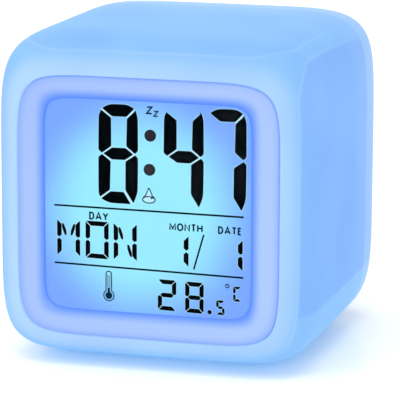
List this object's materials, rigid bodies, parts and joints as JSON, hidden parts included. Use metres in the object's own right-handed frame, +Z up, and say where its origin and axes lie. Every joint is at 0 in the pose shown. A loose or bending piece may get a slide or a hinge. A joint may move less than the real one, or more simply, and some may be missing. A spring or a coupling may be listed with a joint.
{
  "type": "alarm clock",
  "caption": "Soft-cornered cube alarm clock that glows as a night light, with a segment display, a press-down housing for snooze, rear keys and a hinged battery door.",
  "frame": {"origin": "on the table, under the middle of the clock", "axes": "+Z up, the display faces -Y, +X is to the right as seen from the front"},
  "size_m": [0.08, 0.08, 0.0812],
  "materials": {
    "housing_plastic": "soft satin, translucent",
    "bezel_plastic": "soft satin, translucent",
    "clear_plastic": "clear and smooth",
    "display_glass": "clear and smooth",
    "guide_plastic": "clear, frosted",
    "white_plastic": "matte",
    "rubber_strip": "matte",
    "board": "satin solder mask",
    "black_plastic": "matte",
    "plunger_plastic": "matte",
    "key_plastic": "satin",
    "steel": "plain",
    "cell": "printed sleeve without a name",
    "foot_plastic": "satin",
    "foot_rubber": "matte",
    "ribbon": "satin",
    "lead_insulation": "satin"
  },
  "bodies": {
    "foot": {"foot_plate": "foot_plastic", "rubber_feet": "foot_rubber", "foot_springs": "steel", "snooze_plunger": "plunger_plastic"},
    "mode_key": {"mode_button": "key_plastic", "mode_plunger": "plunger_plastic"},
    "set_key": {"set_button": "key_plastic", "set_plunger": "plunger_plastic"},
    "up_key": {"up_button": "key_plastic", "up_plunger": "plunger_plastic"},
    "down_key": {"down_button": "key_plastic", "down_plunger": "plunger_plastic"},
    "light_knob": {"light_switch_knob": "key_plastic"},
    "battery_door": {"battery_cover": "housing_plastic"},
    "housing": {"shell": "housing_plastic", "rear_cover": "housing_plastic", "front_bezel": "bezel_plastic", "display_window": "clear_plastic", "lcd_glass": "display_glass", "light_diffuser": "guide_plastic", "light_leds": "guide_plastic", "display_holder": "white_plastic", "foot_bridge": "white_plastic", "backlight_leds": "white_plastic", "zebra_strip": "rubber_strip", "main_board": "board", "button_board": "board", "snooze_board": "board", "board_parts": "black_plastic", "temperature_sensor": "black_plastic", "buzzer": "black_plastic", "button_switches": "black_plastic", "snooze_switch": "black_plastic", "bezel_screws": "steel", "rear_screws": "steel", "board_screws": "steel", "bridge_screws": "steel", "snooze_screws": "steel", "light_switch_frame": "steel", "battery_springs": "steel", "battery_plates": "steel", "battery_1": "cell", "battery_2": "cell", "battery_3": "cell", "battery_4": "cell", "ribbon_cable": "ribbon", "battery_leads": "lead_insulation", "snooze_leads": "lead_insulation"}
  },
  "joints": [
    {"name": "housing_press", "type": "slide", "parent": "foot", "child": "housing", "axis": [0, 0, -1], "range_m": [0, 0.0006], "stiffness_N_per_m": 2500, "springref_m": -0.003, "deforming": ["foot_springs"]},
    {"name": "mode_key_press", "type": "slide", "parent": "housing", "child": "mode_key", "axis": [0, -1, 0], "range_m": [0, 0.0005], "stiffness_N_per_m": 1200, "springref_m": -0.001},
    {"name": "set_key_press", "type": "slide", "parent": "housing", "child": "set_key", "axis": [0, -1, 0], "range_m": [0, 0.0005], "stiffness_N_per_m": 1200, "springref_m": -0.001},
    {"name": "up_key_press", "type": "slide", "parent": "housing", "child": "up_key", "axis": [0, -1, 0], "range_m": [0, 0.0005], "stiffness_N_per_m": 1200, "springref_m": -0.001},
    {"name": "down_key_press", "type": "slide", "parent": "housing", "child": "down_key", "axis": [0, -1, 0], "range_m": [0, 0.0005], "stiffness_N_per_m": 1200, "springref_m": -0.001},
    {"name": "light_switch_slide", "type": "slide", "parent": "housing", "child": "light_knob", "axis": [1, 0, 0], "range_m": [0, 0.002]},
    {"name": "battery_door_hinge", "type": "hinge", "parent": "housing", "child": "battery_door", "pos_m": [0, 0.0391, 0.0108], "axis": [-1, 0, 0], "range_deg": [0, 90]}
  ]
}
